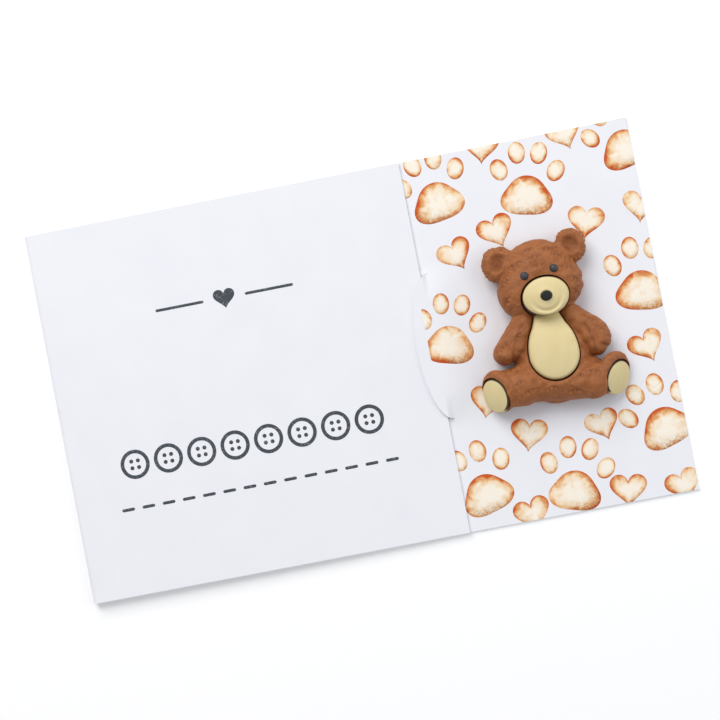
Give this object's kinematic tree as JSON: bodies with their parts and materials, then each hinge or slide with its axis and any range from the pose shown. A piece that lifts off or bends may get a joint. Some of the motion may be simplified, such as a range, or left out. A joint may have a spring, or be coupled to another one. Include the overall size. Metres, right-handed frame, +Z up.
{
  "type": "button card",
  "caption": "Folded white gift card, its front flap tucked under a die-cut half-oval tab, carrying a flat-backed moulded teddy bear button with inset muzzle, belly, foot pads, nose and eyes.",
  "frame": {"origin": "centre of the card's underside", "axes": "+X from the fold to the far edge, +Y to the upper edge, +Z up out of the card, towards the button's face"},
  "size_m": [0.09, 0.055, 0.0076],
  "materials": {
    "card_stock": "uncoated smooth white card stock",
    "clear_glue": "clear soft adhesive",
    "brown_plastic": "matt moulded, brown through and through",
    "cream_plastic": "matt moulded, cream",
    "dark_plastic": "matt moulded, near black"
  },
  "bodies": {
    "root": {"folded_card": "card_stock", "glue_dots": "clear_glue", "bear_body": "brown_plastic", "muzzle_and_belly": "cream_plastic", "left_foot_pad": "cream_plastic", "right_foot_pad": "cream_plastic", "nose": "dark_plastic", "left_eye": "dark_plastic", "right_eye": "dark_plastic"}
  },
  "joints": []
}
